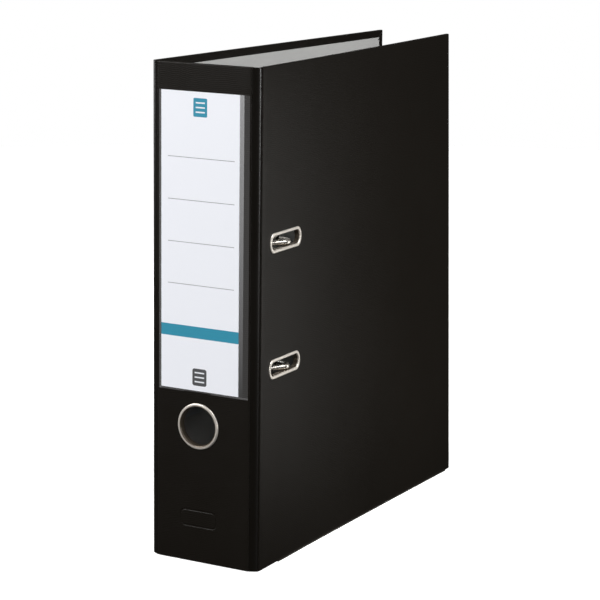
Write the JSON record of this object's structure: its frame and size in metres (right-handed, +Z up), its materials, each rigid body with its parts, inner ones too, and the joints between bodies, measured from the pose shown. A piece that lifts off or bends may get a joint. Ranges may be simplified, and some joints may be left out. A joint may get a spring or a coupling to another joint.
{
  "type": "lever arch file",
  "caption": "Closed lever arch file for punched sheets: foil-covered board case, finger ring, label pocket, rimmed slots, and a working lever mechanism inside.",
  "frame": {"origin": "middle of the bottom of the closed, standing file", "axes": "+Z up along the spine, -Y out of the spine, +X out of the front cover that has the slots"},
  "size_m": [0.0799, 0.285, 0.318],
  "materials": {
    "black_foil": "near-black polypropylene foil, fine wavy embossed grain",
    "gutter_foil": "the same foil, smooth and glossy where it is pressed into the gutter",
    "greyboard": "grey bookbinding board",
    "grey_paper": "light grey lining paper",
    "clear_film": "clear polypropylene film",
    "label_paper": "bluish white card with printed rules and a teal band",
    "nickel": "bright nickel-plated steel",
    "zinc_steel": "zinc-plated steel sheet",
    "spring_steel": "spring steel",
    "black_plastic": "moulded black plastic"
  },
  "bodies": {
    "back": {"back_board": "greyboard", "back_foil": "black_foil", "back_lining": "grey_paper", "back_guard": "nickel", "back_gutter": "gutter_foil", "base_plate": "zinc_steel", "mechanism_rivets": "zinc_steel", "bearing_upper": "zinc_steel", "bearing_lower": "zinc_steel", "lever_bracket": "zinc_steel", "lever_pin": "zinc_steel", "post_upper": "nickel", "post_lower": "nickel", "opening_spring": "spring_steel"},
    "spine": {"spine_board": "greyboard", "spine_foil": "black_foil", "spine_lining": "grey_paper", "front_gutter": "gutter_foil", "finger_ring": "nickel", "finger_ring_washer": "nickel", "label_pocket": "clear_film"},
    "front": {"front_board": "greyboard", "front_foil": "black_foil", "front_lining": "grey_paper", "front_guard": "nickel", "slot_rim_upper": "nickel", "slot_rim_lower": "nickel", "slot_clamp_upper": "nickel", "slot_clamp_lower": "nickel"},
    "arches": {"arch_upper": "nickel", "arch_lower": "nickel", "arch_shaft": "nickel"},
    "lever": {"lever": "nickel", "lever_grip": "black_plastic", "roller_pin": "zinc_steel"},
    "roller": {"roller": "zinc_steel"},
    "compressor": {"compressor_bar": "zinc_steel", "compressor_grip_upper": "black_plastic", "compressor_grip_lower": "black_plastic", "compressor_catch": "black_plastic"},
    "label": {"label_card": "label_paper"}
  },
  "joints": [
    {"name": "front_hinge", "type": "hinge", "parent": "spine", "child": "front", "pos_m": [0.03834, -0.14024, 0.159], "axis": [0, 0, -1], "range_deg": [0, 90], "deforming": ["front_gutter"]},
    {"name": "spine_hinge", "type": "hinge", "parent": "back", "child": "spine", "pos_m": [-0.03834, -0.14024, 0.159], "axis": [0, 0, -1], "range_deg": [0, 90], "deforming": ["back_gutter"]},
    {"name": "arch_swing", "type": "hinge", "parent": "back", "child": "arches", "pos_m": [-0.03082, -0.13096, 0.1655], "axis": [0, 0, -1], "range_deg": [0, 32], "deforming": ["opening_spring"]},
    {"name": "lever_swing", "type": "hinge", "parent": "back", "child": "lever", "pos_m": [-0.02292, -0.10926, 0.1655], "axis": [0, 0, 1], "range_deg": [0, 42]},
    {"name": "roller_spin", "type": "hinge", "parent": "lever", "child": "roller", "pos_m": [-0.02752, -0.11815, 0.1655], "axis": [0, 0, 1], "continuous": true},
    {"name": "compressor_slide", "type": "slide", "parent": "back", "child": "compressor", "axis": [0.9992, -0.041, 0], "range_m": [0, 0.046]},
    {"name": "label_slide", "type": "slide", "parent": "spine", "child": "label", "axis": [0, 0, 1], "range_m": [0, 0.185]}
  ],
  "couplings": [
    {"joint": "spine_hinge", "follows": "front_hinge", "ratio": 1},
    {"joint": "arch_swing", "follows": "front_hinge", "ratio": 0.35556},
    {"joint": "lever_swing", "follows": "front_hinge", "ratio": 0.46667}
  ]
}
